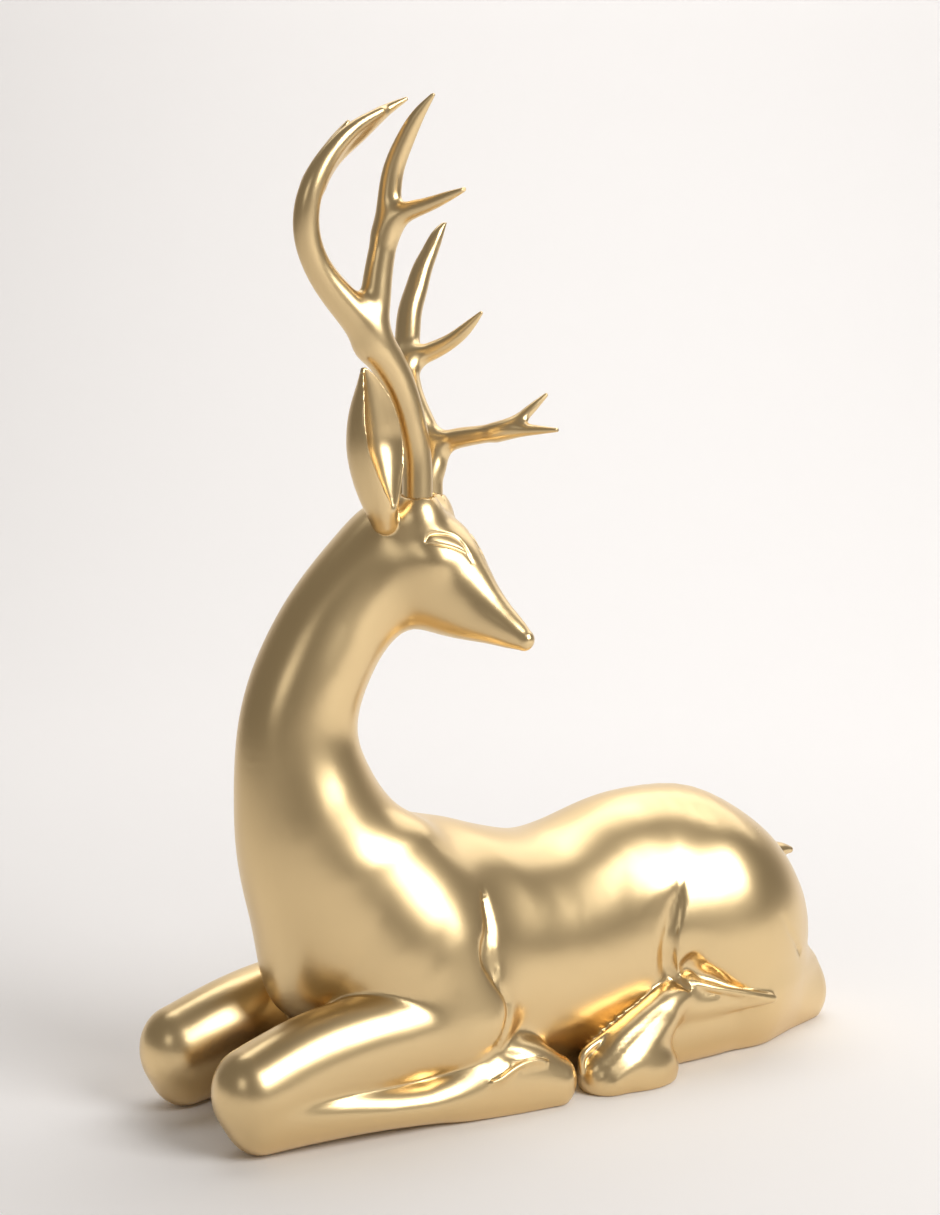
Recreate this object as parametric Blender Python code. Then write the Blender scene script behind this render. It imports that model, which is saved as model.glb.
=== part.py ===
"""A reindeer lying down, looking back over its left shoulder: a cast figure and two set-in antlers.

Metres, +Z up. The animal faces -X, its left side is -Y, and it lies on the plane z = 0.
The forms are rounded bodies swept along smooth curves and blended into each other, and each
is meshed where the distance to the blended form is zero.
"""
import bpy
import numpy as np

# Driving dimensions
FIGURE_HEIGHT = 0.390
ANTLER_ROOT_RADIUS = 0.0058
SOCKET_DEPTH = 0.0060
SOCKET_CLEARANCE = 0.0003
UNDERSIDE_Z = 0.0

# The figure's pose and proportions are shares of its own height: one share is a 390th of it.
SHARE = FIGURE_HEIGHT / 390
FACET = 1.7 * SHARE
FIGURE_TRIANGLES = 7000
RIGHT_ANTLER_TRIANGLES = 1250
LEFT_ANTLER_TRIANGLES = 950

# The head is turned about 118 degrees to the animal's left.
HEAD_LEFT = np.array((0.883, 0.470, 0.0))
HEAD_MIDDLE = np.array((-62.3, -18.7, 0.0))
LEFT_SIDE = np.array((0.0, -1.0, 0.0))
# The rows are set out from a point behind the middle of the figure's length.
ORIGIN_SHIFT = np.array((7.2, 0.0, 0.0))

# Each row is a point of a curve, then the half width across it and the half height, in shares.
TORSO = [
    (-104, 0, 66, 17, 27), (-88, 0, 60, 33, 42), (-50, 0, 53, 40, 53.5), (-8, 0, 49, 43, 50.5),
    (26, 0, 50, 40, 54.5), (56, 0, 51.5, 38, 57.5), (87, 0, 46, 34, 49.5), (113, 0, 38, 23, 34),
]
BELLY = [
    (-60, 0, 22, 28, 28), (-10, 0, 22, 33, 28), (40, 0, 22, 35, 28), (95, 0, 24, 32, 28),
    (118, 0, 26, 22, 24),
]
NECK = [
    (-85, 0, 72, 33, 34), (-101, 0, 100, 28.5, 31.5), (-110, 0, 128, 23.5, 27),
    (-111.5, 0, 152, 20, 24), (-106, 0, 172, 20, 22.3), (-96, -1, 190, 18.5, 21),
    (-83, -3, 205, 18, 20), (-71, -5, 214, 17, 19),
]
HEAD = [
    (-72, -3, 217, 15.5, 18), (-64, -14, 214, 15.8, 18.5), (-57, -25.9, 204.2, 13, 16.6),
    (-51.9, -35.5, 197.4, 9.2, 12.2), (-47.1, -44.4, 192, 6.6, 7.9), (-43.8, -50.5, 188.4, 5, 5.6),
    (-42.5, -53.4, 186.8, 3.8, 4.2),
]
EYE_SOCKET = ((-66.5, -25.5, 216.5), (7.5, 8.5, 7.5))
PEDICLE_RADII = (7.8, 7.8, 10.0)
UPPER_ARM = [
    (-84, -17, 98, 15, 22), (-76, -24, 78, 16, 25), (-66, -31, 56, 15, 23), (-60, -35, 38, 13, 18),
]
FOREARM = [
    (-57, -37, 35, 13, 17), (-90, -34, 34, 15, 19), (-122, -31, 29, 16, 20.5), (-149, -31, 23, 15.5, 18),
]
CANNON = [
    (-146, -32, 15, 14, 15), (-110, -38, 12, 12, 10), (-70, -43, 10, 10, 10), (-36, -47, 11, 9, 14),
    (-24, -49, 8, 8, 10),
]
THIGH = ((78.0, -18.0, 46.5), (47.0, 31.0, 47.0))
SHANK = [(134, -14, 10, 13, 12.5), (96, -26, 14, 13, 15), (62, -36, 16, 12, 17.5), (44, -38, 14, 9, 15)]
FOOT = [
    (50, -42.5, 36, 2.5, 3), (40, -44.5, 30, 5.5, 5.5), (30, -46, 23.5, 9, 8),
    (19, -47, 15.5, 12.5, 10.5),
    (8, -47.5, 8.5, 13, 12), (2.5, -47.5, 6, 11.5, 11.5),
]
FOOT_PAD = ((20, -48, 5), (17.5, 12.5, 13))
FOOT_WING = [
    (38, -41, 27, 6, 7.5), (53, -44.3, 26.2, 5.5, 6.8), (66, -47.4, 25.6, 4, 4.6),
    (78, -50.8, 25, 2.2, 2.1),
    (87, -52.8, 24.6, 0.7, 0.6),
]
FOOT_RIM = [
    (88, -53, 24.5, 0.5), (76, -52.8, 28, 1.0), (66, -51.4, 30.8, 1.4), (55, -48.8, 34, 1.6),
    (47, -45, 35.7, 1.6),
    (37, -43.7, 33.4, 1.6), (26.5, -44, 30.2, 1.6), (13.2, -45, 25, 1.6), (0, -46, 19.8, 1.6),
    (-9, -47, 14.5, 1.5),
    (-9.3, -47.5, 9, 1),
]
FOOT_FLUTES = [
    [(30, -51.8, 31, 0.8), (24.3, -53.2, 29.4, 1.6), (15.3, -54.9, 25.5, 2), (5.1, -56.2, 20.2, 2),
     (-3.6, -56.2, 13.6, 1.8), (-8.3, -54.3, 7.5, 1)],
    [(33, -53.6, 28.5, 0.8), (27, -55.8, 26.2, 1.6), (18.2, -57.7, 22.4, 2), (8.1, -59.5, 17.3, 2),
     (-0.5, -59.3, 11.4, 1.8), (-5.8, -57.6, 5.4, 1)],
]
THIGH_POCKET = [
    (50, -45.5, 42.2, 4.5, 5.6), (54.5, -45.8, 39, 4.2, 4.3), (61, -47.5, 36, 3.4, 3),
    (67, -49.5, 33, 2.2, 1.8),
    (76, -51.5, 29.3, 0.8, 0.6),
]
HOOF_HOLLOW = [
    (-50, -53, 26, 2.2), (-45, -54.5, 24.5, 3), (-39, -55.3, 23.6, 2.2), (-34, -55.5, 22.3, 1),
    (-31.5, -56, 21.2, 0.4),
]
HOOF_RIM = [
    (-58.5, -54.9, 16.5, 0.5), (-55, -55.2, 17.1, 0.8), (-51.2, -55.2, 18.7, 0.9),
    (-45.4, -55.1, 20.8, 0.9),
    (-40.6, -55, 21.4, 0.9), (-35, -55.2, 20.8, 0.8), (-31.5, -55.8, 19.1, 0.5),
]
TAIL = [(118, 0, 72, 7, 6), (131, -1, 73, 5, 4), (140, -2, 73, 3, 2.5), (143.5, -2.5, 72.5, 1.6, 1.4)]

# Creases are grooves drawn on the skin: x, z, half width and depth, in shares.
SHOULDER_CREASE = [
    (-49, 89, 0.5, 0.5), (-50.5, 81.8, 1.7, 1.2), (-51.5, 73, 2.4, 1.8), (-54, 65, 4.2, 2.3),
    (-53.5, 60, 3.8, 2.2),
    (-52.5, 55.5, 2, 1.8), (-51, 51.8, 1, 1.2), (-46.8, 44, 0.9, 1), (-47.2, 40, 0.9, 1),
    (-50, 34, 0.9, 1),
    (-56, 27.7, 0.8, 0.9), (-59.5, 26.5, 0.5, 0.5),
]
FLANK_CREASE = [
    (50.2, 79.5, 0.3, 0.3), (47.5, 72, 1.4, 0.9), (43.7, 64, 2.4, 1.6), (40, 51.5, 3.2, 2.4),
    (41.3, 41, 3, 2.4),
    (45.5, 35, 1.2, 1.4),
]
HOCK_CREASE = [
    (95.2, 59.2, 0.3, 0.3), (101.2, 50.7, 0.7, 0.6), (107.5, 44, 0.9, 0.9), (112.5, 38.5, 1, 1),
]
# Each crease with the fillets of its front and back edges.
CREASES = [(SHOULDER_CREASE, 1.2, 1.2), (FLANK_CREASE, 3.0, 0.6), (HOCK_CREASE, 0.8, 0.8)]

# Ear rows are a point and the radius of a round shell, from the base to the tip.
EAR_RADII = (5.1, 6.9, 9.7, 11.2, 10.4, 7.1, 3.2, 0.8)
RIGHT_EAR = [
    (-85.7, -21.8, 232.3), (-88.2, -23.8, 238.5), (-90.5, -25.2, 249.2), (-91.7, -26.2, 260.9),
    (-92.7, -26.7, 268.7), (-94.2, -26.9, 279.9), (-95.9, -26.4, 286.9), (-97.2, -26.1, 290.4),
]
RIGHT_EAR_FACE = np.array((0.276, -0.961, 0.0))
LEFT_EAR = [
    (-56, -1, 225), (-52, 8, 235.5), (-50.9, 16.2, 246.9), (-49.4, 23.7, 259.2),
    (-48.3, 27.8, 267.7), (-47, 32.9, 277.8), (-46.1, 35.9, 283.5), (-45.9, 37, 286.8),
]
LEFT_EAR_FACE = np.array((0.643, -0.765, 0.0))
# The hollow at each ear row: how far it is set towards the face, and its radius, in ear radii.
EAR_HOLLOW = [(0.95, 0.12), (0.95, 0.69), (0.95, 0.976), (0.95, 1.02), (0.9, 1.1), (0.9, 1.1), (0.9, 0.6)]

# Antler rows are a point and the radius; the first two stand upright in the socket.
RIGHT_ROOT = (-70.3, -21.4)
RIGHT_STEM = [
    (-70.8, -21.6, 256.3, 5.7), (-74.0, -22.4, 270, 5.8), (-80.2, -23.0, 285, 6.3),
    (-90, -23.9, 298.5, 7.1), (-98, -23.4, 308.4, 6.7), (-107.8, -22.8, 318.4, 5.8),
    (-115.5, -23.5, 328, 5.1),
    (-120, -25.2, 337.7, 4.9), (-121, -27, 347.2, 4.7), (-118.8, -28.4, 356.5, 4.3),
    (-113.8, -29.4, 365.6, 3.6),
    (-106.9, -30.4, 373.5, 2.9), (-99.4, -30.7, 379.3, 2.0), (-91.8, -31, 383.5, 0.8),
]
RIGHT_TINES = [
    [(-116.2, -25.3, 356.2, 2.9), (-108.7, -25.6, 365.9, 2.9), (-98.2, -26.6, 375.5, 2.9),
     (-88.5, -28.4, 384, 2.2), (-81, -31, 388.6, 0.8)],
    [(-116.7, -22.6, 355.7, 2.9), (-110.9, -20.5, 365.6, 2.4), (-104.8, -19.8, 373.6, 1.8),
     (-99.3, -19.9, 380.2, 0.8)],
    [(-92.4, -23.3, 298.5, 5.2), (-91.1, -24.2, 310.7, 5.8), (-89.8, -25.1, 324.4, 5.4),
     (-88.2, -26.1, 335.4, 5.0), (-86.6, -27.2, 347.5, 4.6), (-85.6, -29.1, 362, 4.0),
     (-83.2, -33.1, 372.7, 3.5), (-80.3, -38.7, 382.4, 2.4), (-77.6, -44.1, 388.8, 0.8)],
    [(-87.3, -26.8, 339.4, 3.3), (-83.9, -32.6, 346.1, 3.7), (-79.9, -41.4, 349, 2.9),
     (-75.9, -50.1, 351.7, 2.0), (-72.4, -57.3, 354.2, 0.8)],
]
LEFT_ROOT = (-55.5, -6.0)
LEFT_STEM = [
    (-52.6, -5.6, 254.5, 5.5), (-53.4, -1.5, 265, 5.3), (-55.3, 5.6, 277.5, 5.2),
    (-54.3, 11.3, 286.6, 5.2),
    (-51.2, 16.5, 295.8, 5.1), (-47.5, 21.2, 306, 5.1), (-44.5, 24, 314.6, 4.9), (-41, 25.3, 322.3, 4.6),
    (-37.9, 25.6, 330.5, 4.1), (-33.9, 25.3, 338.7, 3.3), (-30.5, 24.2, 346, 2.2),
    (-27.9, 23.7, 349.7, 0.8),
]
LEFT_TINES = [
    [(-52.9, -4.1, 259.5, 4.1), (-46.7, -11.9, 262.7, 4.1), (-41.9, -22.4, 264.5, 3.6),
     (-37.3, -32.7, 266, 3.3),
     (-32.8, -43, 266.5, 2.2), (-27.8, -53.7, 266.6, 0.8)],
    [(-38.7, -29.4, 265.6, 1.9), (-35, -35.5, 269.1, 2.3), (-29.6, -39.2, 274.5, 1.9),
     (-24.2, -41.6, 279.9, 0.8)],
    [(-51.8, 14.4, 293.4, 3.8), (-44.7, 8.4, 297.2, 3.7), (-39.2, 2.3, 301.3, 3.1),
     (-34.7, -3.2, 306.8, 2.3),
     (-31.5, -7.7, 312.2, 0.8)],
]
CROWN_Z = 242.0


def unit(vectors):
    vectors = np.asarray(vectors, float)
    return vectors / np.linalg.norm(vectors, axis=-1, keepdims=True)


def fade(x, start, end):
    """0 before start, 1 after end, and smooth between them."""
    t = np.clip((x - start) / (end - start), 0, 1)
    return t * t * (3 - 2 * t)


def spline(rows):
    """A cubic curve with even curvature through the rows: a function of arc length, and its length."""
    rows = np.array(rows, float)
    gaps = np.linalg.norm(np.diff(rows[:, :3], axis=0), axis=1)
    knots = np.concatenate(([0.0], np.cumsum(gaps)))
    system = np.eye(len(rows))
    turns = np.zeros_like(rows)
    for i in range(1, len(rows) - 1):
        system[i, i - 1:i + 2] = gaps[i - 1], 2 * (gaps[i - 1] + gaps[i]), gaps[i]
        ahead, behind = (rows[i + 1] - rows[i]) / gaps[i], (rows[i] - rows[i - 1]) / gaps[i - 1]
        turns[i] = 6 * (ahead - behind)
    bend = np.linalg.solve(system, turns)

    def at(t):
        i = np.clip(np.searchsorted(knots, t, side="right") - 1, 0, len(gaps) - 1)
        gap = gaps[i][:, None]
        b = (t - knots[i])[:, None] / gap
        a = 1 - b
        bow = (a ** 3 - a) * bend[i] + (b ** 3 - b) * bend[i + 1]
        lean = (3 * b ** 2 - 1) * bend[i + 1] - (3 * a ** 2 - 1) * bend[i]
        value = a * rows[i] + b * rows[i + 1] + bow * gap ** 2 / 6
        slope = (rows[i + 1] - rows[i]) / gap + lean * gap / 6
        return value, slope[:, :3]

    return at, knots[-1]


def limb(rows, side=(0, 1, 0), steps=48, reach=45.0):
    """Distance to a body swept along a curve, with elliptic sections; side is the width's direction."""
    rows = [tuple(row) + (row[3],) if len(row) == 4 else tuple(row) for row in rows]
    side = np.asarray(side, float)
    at, length = spline(rows)
    stations = np.linspace(0, length, steps)
    table = at(stations)[0]
    places, girth = table[:, :3], table[:, 3:5].mean(axis=1)
    cut = girth.max() + reach
    low, high = places.min(axis=0), places.max(axis=0)

    def exact(p, t):
        for _ in range(2):
            value, slope = at(t)
            t = np.clip(t + ((p - value[:, :3]) * slope).sum(1) / (slope ** 2).sum(1), 0, length)
        value, slope = at(t)
        along = unit(slope)
        across = unit(side - along * (along @ side)[:, None])
        up = np.cross(along, across)
        off = p - value[:, :3]
        width, height = np.maximum(value[:, 3], 0.3), np.maximum(value[:, 4], 0.3)
        halves = np.stack((width, height, np.minimum(width, height)), 1)
        shares = np.stack(((off * across).sum(1), (off * up).sum(1), (off * along).sum(1)), 1) / halves
        k = np.linalg.norm(shares, axis=1) + 1e-9
        return k * (k - 1) / (np.linalg.norm(shares / halves, axis=1) + 1e-9)

    def close(p):
        squares = (places ** 2).sum(1)[None] - 2 * p @ places.T
        pick = np.argmin(squares, axis=1)
        gap = np.sqrt(np.maximum(squares[np.arange(len(p)), pick] + (p ** 2).sum(1), 0))
        rough = gap - girth[pick]
        near = gap < cut
        far_share = fade(gap[near], cut - 20, cut)
        rough[near] = far_share * rough[near] + (1 - far_share) * exact(p[near], stations[pick[near]])
        return rough

    def field(p):
        out = np.linalg.norm(np.maximum(np.maximum(low - p, p - high), 0), axis=1)
        near = out < cut
        out[near] = close(p[near])
        out[~near] -= girth.mean()
        return out

    return field


def ball(centre, radii, long_axis=(1, 0, 0)):
    """Distance to an ellipsoid whose first radius runs along long_axis and third stays most upright."""
    first = unit(long_axis)
    second = unit(np.cross((0, 0, 1), first))
    turn = np.stack((first, second, np.cross(first, second)))
    radii = np.array(radii, float)

    def field(p):
        shares = (p - np.array(centre)) @ turn.T / radii
        k = np.linalg.norm(shares, axis=1) + 1e-9
        return k * (k - 1) / (np.linalg.norm(shares / radii, axis=1) + 1e-9)

    return field


def blend(a, b, fillet):
    """Both forms with a smooth fillet between them, which ends where they are five fillets apart."""
    apart = np.abs(a - b)
    swell = 0.5 * (np.sqrt(apart ** 2 + fillet ** 2) - apart)
    return np.minimum(a, b) - swell * (1 - fade(apart, 2.5 * fillet, 5 * fillet))


def carve(a, b, fillet):
    return -blend(-a, b, fillet)


def weld(a, b, fillet):
    """Like blend, but only where the two are within a fillet of each other."""
    share = np.maximum(fillet - np.abs(a - b), 0) / fillet
    return np.minimum(a, b) - share ** 2 * fillet / 4


def in_chunks(field, p, size=50000):
    return np.concatenate([field(p[i:i + size]) for i in range(0, len(p), size)])


def crease(skin, rows, front, back, outward, start):
    """A cut that leaves a groove along the skin: each row's x and z are dropped onto it from outside."""
    points = np.array([(x, start, z) for x, z, _, _ in rows], float)
    for _ in range(60):
        points = points - outward * skin(points)[:, None]
    groove = limb([tuple(p) + row[2:] for p, row in zip(points, rows)], (1, 0, 0))
    rising = np.array(sorted(rows, key=lambda row: row[1]))
    top, bottom = rising[-1, 1], rising[0, 1]

    def cut_groove(f, p):
        middle, width = [np.interp(p[:, 2], rising[:, 1], rising[:, i]) for i in (0, 2)]
        fillet = front + (back - front) * fade((p[:, 0] - middle) / width, -0.5, 0.5)
        ends = fade(top - p[:, 2], -1, 12) * fade(p[:, 2] - bottom, -3, 3)
        return carve(f, groove(p), fillet * (0.1 + 0.9 * ends))

    return cut_groove


def mirror_in_head(vectors, middle=HEAD_MIDDLE):
    """Reflect rows in the head's middle plane."""
    out = np.array(vectors, float)
    out[..., :3] -= 2 * ((out[..., :3] - middle) @ HEAD_LEFT)[..., None] * HEAD_LEFT
    return out


def ear(rows, face):
    """A leaf-shaped shell, hollowed on the side it faces down to a pointed mouth."""
    rows, radii = np.array(rows, float), np.array(EAR_RADII)
    shell = limb([(*row, radius) for row, radius in zip(rows, radii)], face)
    mouth = []
    for (along, share), row, radius in zip(EAR_HOLLOW, rows[1:], radii[1:]):
        mouth.append((*(row + along * radius * face), share * radius))
    hollow = limb(mouth, face)
    return lambda p: carve(shell(p), hollow(p), 0.6)


def head_form():
    head = limb(HEAD, HEAD_LEFT)
    centre, radii = EYE_SOCKET
    bumps = [ball(centre, radii), ball(mirror_in_head(centre), radii)]
    bumps += [ball((x, y, CROWN_Z - PEDICLE_RADII[2]), PEDICLE_RADII) for x, y in (RIGHT_ROOT, LEFT_ROOT)]

    def field(p):
        f = head(p)
        for bump in bumps:
            f = blend(f, bump(p), 4)
        return f

    return field


def figure_form():
    """The whole cast figure: both sides share the same limbs, mirrored."""
    torso, belly, neck, tail = limb(TORSO, reach=90), limb(BELLY), limb(NECK, reach=90), limb(TAIL)
    head = head_form()
    arm, forearm, cannon, shank = limb(UPPER_ARM), limb(FOREARM), limb(CANNON), limb(SHANK)
    thigh, pocket, wing = ball(*THIGH), limb(THIGH_POCKET), limb(FOOT_WING)
    foot, pad, rim = limb(FOOT, (0, 0, 1)), ball(*FOOT_PAD), limb(FOOT_RIM)
    flutes = [limb(rows) for rows in FOOT_FLUTES]
    hollow, lip = limb(HOOF_HOLLOW), limb(HOOF_RIM)
    ears = [ear(RIGHT_EAR, RIGHT_EAR_FACE), ear(LEFT_EAR, LEFT_EAR_FACE)]

    def body(p):
        f = blend(blend(torso(p), belly(p), 5), neck(p), 12)
        f = blend(f, head(p), 10)
        for side in (1, -1):
            q = p * (1, side, 1)
            f = blend(f, arm(q), 8)
            leg = blend(forearm(q), cannon(q), 1.5)
            f = blend(f, leg, 1.5 + 6 * fade(q[:, 0], -90, -62))
            f = blend(f, thigh(q), 8 + 6 * fade(q[:, 0], 50, 90))
            f = blend(f, shank(q), 2 + 8 * fade(q[:, 0], 70, 98) * fade(q[:, 2], 40, 26))
            f = blend(carve(f, hollow(q), 0.8), lip(q), 0.8)
            paw = blend(blend(foot(q), wing(q), 4), pad(q), 3)
            for flute in flutes:
                paw = carve(paw, flute(q), 1.2)
            f = blend(blend(carve(f, pocket(q), 2.5), paw, 1.2), rim(q), 1)
        return blend(f, tail(p), 3)

    creases = [crease(body, *row, LEFT_SIDE, -90.0) for row in CREASES]

    def field(p):
        f = body(p)
        for side in (1, -1):
            q = p * (1, side, 1)
            for cut_groove in creases:
                f = cut_groove(f, q)
        for shell in ears:
            f = blend(f, shell(p), 1.2)
        return f

    return field


def antler_form(root, stem, tines):
    """A stem with its tines; the root stands upright in its socket."""
    radius = ANTLER_ROOT_RADIUS / SHARE
    foot = [root + (CROWN_Z + rise, radius) for rise in (-14, -8, -3, 1, 4)]
    parts = [limb(rows, HEAD_LEFT) for rows in [foot + stem] + tines]

    def field(p):
        f = parts[0](p)
        for part in parts[1:]:
            f = weld(f, part(p), 5)
        return f

    return field


def block_values(field, low, size, cell, block=6):
    """The field on a grid: exact near the surface, and one value a block elsewhere."""
    blocks = (size - 1) // block + 2
    corner = np.stack(np.meshgrid(*[np.arange(n) for n in blocks], indexing="ij"), -1).reshape(-1, 3)
    values = in_chunks(field, low + corner * cell * block).reshape(blocks)
    for axis in range(3):
        values = np.repeat(values, block, axis)
    half = block // 2
    values = values[half:, half:, half:][:size[0], :size[1], :size[2]]
    near = np.abs(values) < cell * block * 1.6
    values[near] = in_chunks(field, low + np.argwhere(near) * cell)
    return values


CELL_CORNERS = [(i, j, k) for i in (0, 1) for j in (0, 1) for k in (0, 1)]


def in_one_group(corners):
    """Whether the corners of a cell hang together along its edges."""
    reached = corners[:1]
    for corner in reached:
        reached += [c for c in corners if c not in reached and sum(abs(a - b) for a, b in zip(c, corner)) == 1]
    return len(reached) == len(corners)


def one_sheet_cells():
    """For each of the 256 patterns of inside corners, whether the surface crosses the cell once."""
    table = []
    for pattern in range(256):
        chosen = [c for n, c in enumerate(CELL_CORNERS) if pattern >> n & 1]
        others = [c for c in CELL_CORNERS if c not in chosen]
        table.append(in_one_group(chosen) and in_one_group(others))
    return np.array(table)


def fill_pinches(values, cell):
    """Fill the grid corners where the surface would touch itself, so that it stays one closed sheet."""
    table = one_sheet_cells()
    span = np.array(values.shape) - 1
    while True:
        inside = values < 0
        pattern = sum(inside[i:i + span[0], j:j + span[1], k:k + span[2]].astype(int) << n
                      for n, (i, j, k) in enumerate(CELL_CORNERS))
        bad = np.argwhere(~table[pattern])
        if not len(bad):
            return values
        around = bad[:, None] + np.array(CELL_CORNERS)
        found = values[tuple(around.reshape(-1, 3).T)].reshape(-1, 8)
        pick = np.argmin(np.where(found < 0, np.inf, found), axis=1)
        values[tuple(around[np.arange(len(bad)), pick].T)] = -0.01 * cell


def surface_net(field, low, high, cell):
    """Points and quads of the field's zero: one point in each grid cell that the surface crosses."""
    low = np.array(low, float)
    size = np.ceil((np.array(high) - low) / cell).astype(int) + 1
    values = fill_pinches(block_values(field, low, size, cell), cell)
    inside = values < 0
    span = size - 1
    count = sum(inside[i:i + span[0], j:j + span[1], k:k + span[2]].astype(np.int8) for i, j, k in CELL_CORNERS)
    cells = np.argwhere((count > 0) & (count < 8))
    number = np.full(span, -1)
    number[tuple(cells.T)] = np.arange(len(cells))
    total, hits = np.zeros((len(cells), 3)), np.zeros(len(cells))
    steps = np.eye(3, dtype=int)
    for step in steps:
        for corner in CELL_CORNERS:
            if np.dot(corner, step):
                continue
            start = cells + corner
            a, b = values[tuple(start.T)], values[tuple((start + step).T)]
            crossed = (a < 0) != (b < 0)
            share = np.where(crossed, a / np.where(crossed, a - b, 1), 0)
            total += np.where(crossed[:, None], start - cells + share[:, None] * step, 0)
            hits += crossed
    points = low + (cells + total / hits[:, None]) * cell
    quads = []
    for axis in range(3):
        step, first, second = steps[axis], steps[(axis + 1) % 3], steps[(axis + 2) % 3]
        edge = size - step
        before, after = inside[:edge[0], :edge[1], :edge[2]], inside[step[0]:, step[1]:, step[2]:]
        crossed = np.argwhere(before != after)
        quad = np.stack([number[tuple((crossed - s).T)] for s in (0 * first, first, first + second, second)], 1)
        outward = before[tuple(crossed.T)]
        quad[~outward] = quad[~outward][:, ::-1]
        quads.append(quad)
    return points, np.concatenate(quads)


def corner_sums(quads, values, count):
    """Add each quad corner's value up at its point."""
    out = np.zeros((count, 3))
    for corner in range(4):
        for axis in range(3):
            out[:, axis] += np.bincount(quads[:, corner], values[corner][:, axis], count)
    return out


def settle(field, points, quads, rounds=3, probe=0.05):
    """Even the points out along the surface, and put them exactly on it."""
    hits = np.bincount(quads.ravel(), minlength=len(points))[:, None]
    for turn in range(rounds):
        if turn < rounds - 1:
            ends = [points[quads[:, (c + 1) % 4]] + points[quads[:, (c + 3) % 4]] for c in range(4)]
            points = points + 0.5 * (corner_sums(quads, ends, len(points)) / (2 * hits) - points)
        across = np.cross(points[quads[:, 2]] - points[quads[:, 0]], points[quads[:, 3]] - points[quads[:, 1]])
        normals = unit(corner_sums(quads, [across] * 4, len(points)))
        value = in_chunks(field, points)
        slope = (in_chunks(field, points + probe * normals) - value) / probe
        points = points - np.clip(value / np.maximum(slope, 0.4), -1, 1)[:, None] * normals
    return points


def gold(name):
    """Satin gold lacquer over a cast body."""
    material = bpy.data.materials.new(name)
    material.use_nodes = True
    shader = material.node_tree.nodes["Principled BSDF"]
    shader.inputs["Base Color"].default_value = (0.66, 0.46, 0.20, 1.0)
    shader.inputs["Metallic"].default_value = 1.0
    shader.inputs["Roughness"].default_value = 0.30
    return material


def link(name, mesh):
    piece = bpy.data.objects.new(name, mesh)
    bpy.context.scene.collection.objects.link(piece)
    return piece


def meshed(name, field, low, high, triangles):
    """A smooth-shaded object of the form, thinned to about the given number of triangles."""
    points, quads = surface_net(field, low, high, FACET / SHARE)
    points = settle(field, points, quads)
    mesh = bpy.data.meshes.new(name)
    mesh.from_pydata(((points + ORIGIN_SHIFT) * SHARE).tolist(), [], quads.tolist())
    mesh.materials.append(gold(name + "_gold"))
    mesh.shade_smooth()
    piece = link(name, mesh)
    thin = piece.modifiers.new("thin", "DECIMATE")
    thin.ratio = triangles / (2 * len(quads))
    return piece


def cutter(name, low, high):
    """A box that only cuts."""
    corners = [(x, y, z) for x in (low[0], high[0]) for y in (low[1], high[1]) for z in (low[2], high[2])]
    faces = [(0, 1, 3, 2), (4, 6, 7, 5), (0, 4, 5, 1), (2, 3, 7, 6), (0, 2, 6, 4), (1, 5, 7, 3)]
    mesh = bpy.data.meshes.new(name)
    mesh.from_pydata(corners, [], faces)
    return hidden(link(name, mesh))


def socket_cutter(name, root):
    """An upright round hole, a clearance wider than the antler's root."""
    height = 0.1 * FIGURE_HEIGHT
    floor = CROWN_Z * SHARE - SOCKET_DEPTH
    x, y = (np.array(root) + ORIGIN_SHIFT[:2]) * SHARE
    bpy.ops.mesh.primitive_cylinder_add(
        vertices=40, radius=ANTLER_ROOT_RADIUS + SOCKET_CLEARANCE, depth=height, location=(x, y, floor + height / 2))
    piece = bpy.context.object
    piece.name = name
    return hidden(piece)


def hidden(piece):
    piece.hide_render = True
    piece.display_type = "WIRE"
    return piece


def cut(piece, tool):
    boolean = piece.modifiers.new(tool.name, "BOOLEAN")
    boolean.operation = "DIFFERENCE"
    boolean.object = tool


def main():
    for old in list(bpy.data.objects):
        bpy.data.objects.remove(old)
    half = FIGURE_HEIGHT / 2
    below = -0.1 * FIGURE_HEIGHT
    form = figure_form()
    figure = meshed("deer_figure", lambda p: np.maximum(form(p), -p[:, 2] - 3),
                    (-176, -72, -6), (162, 72, 300), FIGURE_TRIANGLES)
    cut(figure, cutter("underside_cutter", (-half, -half, below), (half, half, UNDERSIDE_Z)))
    for name, root, stem, tines, low, high, triangles in (
            ("right_antler", RIGHT_ROOT, RIGHT_STEM, RIGHT_TINES, (-136, -70, 214), (-50, 0, 404),
             RIGHT_ANTLER_TRIANGLES),
            ("left_antler", LEFT_ROOT, LEFT_STEM, LEFT_TINES, (-70, -64, 214), (-8, 44, 366),
             LEFT_ANTLER_TRIANGLES)):
        cut(figure, socket_cutter(name + "_socket_cutter", root))
        antler = meshed(name, antler_form(root, stem, tines), low, high, triangles)
        foot = CROWN_Z * SHARE - SOCKET_DEPTH + SOCKET_CLEARANCE
        cut(antler, cutter(name + "_foot_cutter", (-half, -half, below), (half, half, foot)))


main()
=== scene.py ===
"""A gold reindeer figurine, dressed over its CAD solids: fine skin, satin gold, studio.

Metres, +Z up. The animal faces -X and its left side is -Y. The forms are the part's own, meshed
finer and with the small carving added, and each piece stands for one CAD node.
"""
import bmesh
import bpy
import numpy as np
from mathutils import Matrix, Vector


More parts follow.
